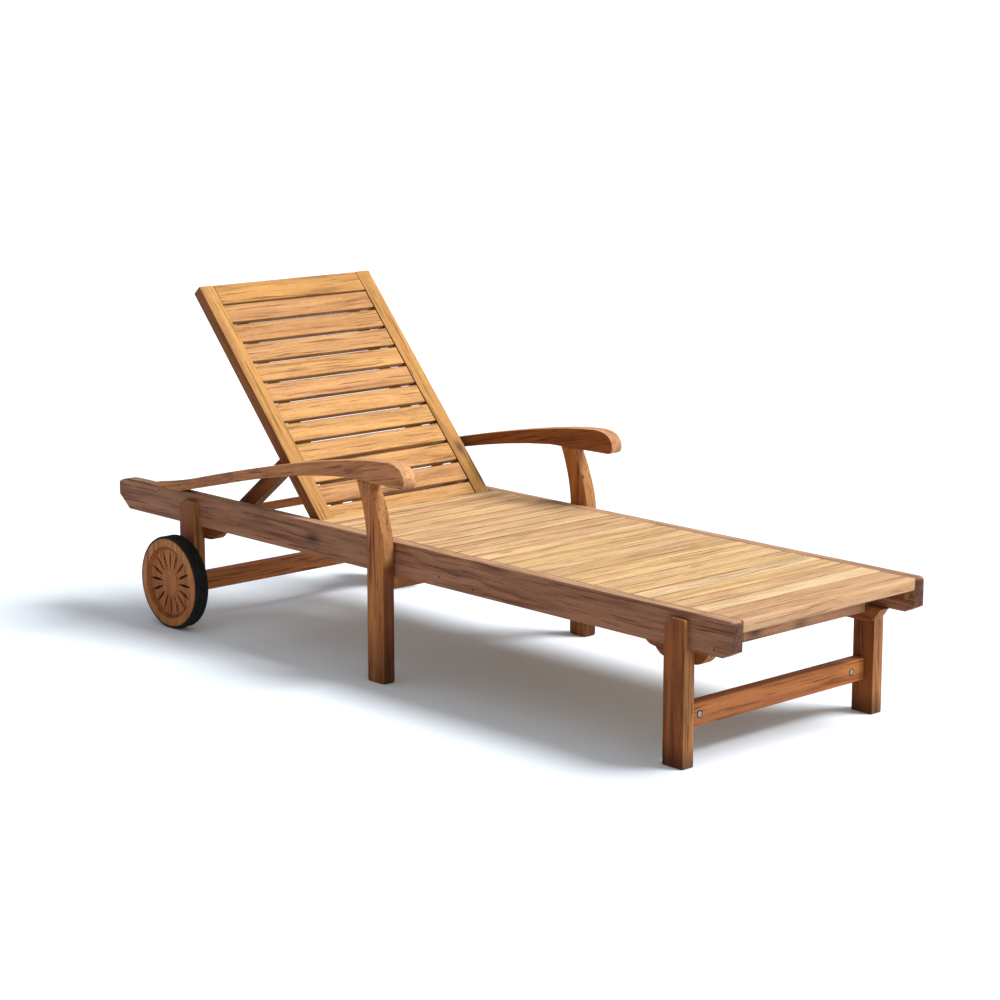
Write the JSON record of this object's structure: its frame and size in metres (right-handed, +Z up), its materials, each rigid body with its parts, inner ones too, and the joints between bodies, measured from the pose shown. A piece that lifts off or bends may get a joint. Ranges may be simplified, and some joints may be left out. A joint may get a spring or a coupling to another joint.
{
  "type": "reclining sun lounger",
  "caption": "Slatted teak sun lounger with a reclining propped backrest, bowed armrests on posts and two wheels at the head end.",
  "frame": {"origin": "on the floor, below the middle of the side rails", "axes": "+X toward the foot end, +Y to the left of a person lying on it, +Z up"},
  "size_m": [2, 0.728, 0.7944],
  "materials": {
    "rail_teak": "weathered, matt, reddish brown",
    "frame_teak": "oiled, satin, orange brown",
    "deck_teak": "dry, matt, light tan",
    "back_teak": "dry, matt, golden",
    "wheel_teak": "oiled, satin, reddish brown",
    "tyre": "matt black, fine tread",
    "steel": "stainless"
  },
  "bodies": {
    "lounger_frame": {"arm_cross_rail": "frame_teak", "deck_slats_01_to_03": "deck_teak", "deck_slats_04_and_05": "deck_teak", "deck_slats_06_and_07": "deck_teak", "deck_slats_08_and_09": "deck_teak", "deck_slats_10_and_11": "deck_teak", "deck_slats_12_and_13": "deck_teak", "deck_slats_14_and_15": "deck_teak", "deck_slats_16_and_17": "deck_teak", "deck_slats_18_and_19": "deck_teak", "deck_slats_20_and_21": "deck_teak", "deck_slats_22_and_23": "deck_teak", "end_board": "deck_teak", "foot_apron": "frame_teak", "foot_stretcher": "frame_teak", "left_arm_post": "frame_teak", "left_armrest": "rail_teak", "left_axle_bolt": "steel", "left_foot_leg": "frame_teak", "left_foot_leg_bracket": "frame_teak", "left_hinge_pin": "steel", "left_ledger_and_rack": "frame_teak", "left_side_rail": "rail_teak", "left_wheel_leg": "frame_teak", "left_wheel_leg_bracket": "frame_teak", "right_arm_post": "frame_teak", "right_armrest": "rail_teak", "right_axle_bolt": "steel", "right_foot_leg": "frame_teak", "right_foot_leg_bracket": "frame_teak", "right_hinge_pin": "steel", "right_ledger_and_rack": "frame_teak", "right_side_rail": "rail_teak", "right_wheel_leg": "frame_teak", "right_wheel_leg_bracket": "frame_teak", "wheel_stretcher": "frame_teak"},
    "backrest": {"backrest_slat_01": "back_teak", "backrest_slat_02": "back_teak", "backrest_slat_03": "back_teak", "backrest_slat_04": "back_teak", "backrest_slat_05": "back_teak", "backrest_slat_06": "back_teak", "backrest_slat_07": "back_teak", "backrest_slat_08": "back_teak", "backrest_slat_09": "back_teak", "backrest_slat_10": "back_teak", "backrest_slat_11": "back_teak", "backrest_top_rail": "back_teak", "left_backrest_batten": "back_teak", "left_backrest_stile": "back_teak", "right_backrest_batten": "back_teak", "right_backrest_stile": "back_teak", "prop_rod": "steel"},
    "prop": {"left_prop_arm": "frame_teak", "right_prop_arm": "frame_teak", "prop_bar": "frame_teak"},
    "left_wheel": {"left_wheel_disc": "wheel_teak", "left_tyre": "tyre"},
    "right_wheel": {"right_wheel_disc": "wheel_teak", "right_tyre": "tyre"}
  },
  "joints": [
    {"name": "backrest_recline", "type": "hinge", "parent": "lounger_frame", "child": "backrest", "pos_m": [-0.272, 0, 0.296], "axis": [0, 1, 0], "range_deg": [-48.2, 17.8]},
    {"name": "prop_fold", "type": "hinge", "parent": "backrest", "child": "prop", "pos_m": [-0.42842, 0, 0.42443], "axis": [0, 1, 0], "range_deg": [-32, 86]},
    {"name": "left_wheel_spin", "type": "hinge", "parent": "lounger_frame", "child": "left_wheel", "pos_m": [-0.698, 0.345, 0.109], "axis": [0, 1, 0], "continuous": true},
    {"name": "right_wheel_spin", "type": "hinge", "parent": "lounger_frame", "child": "right_wheel", "pos_m": [-0.698, -0.345, 0.109], "axis": [0, 1, 0], "continuous": true}
  ],
  "couplings": [
    {"joint": "prop_fold", "follows": "backrest_recline", "ratio": -1.78}
  ]
}
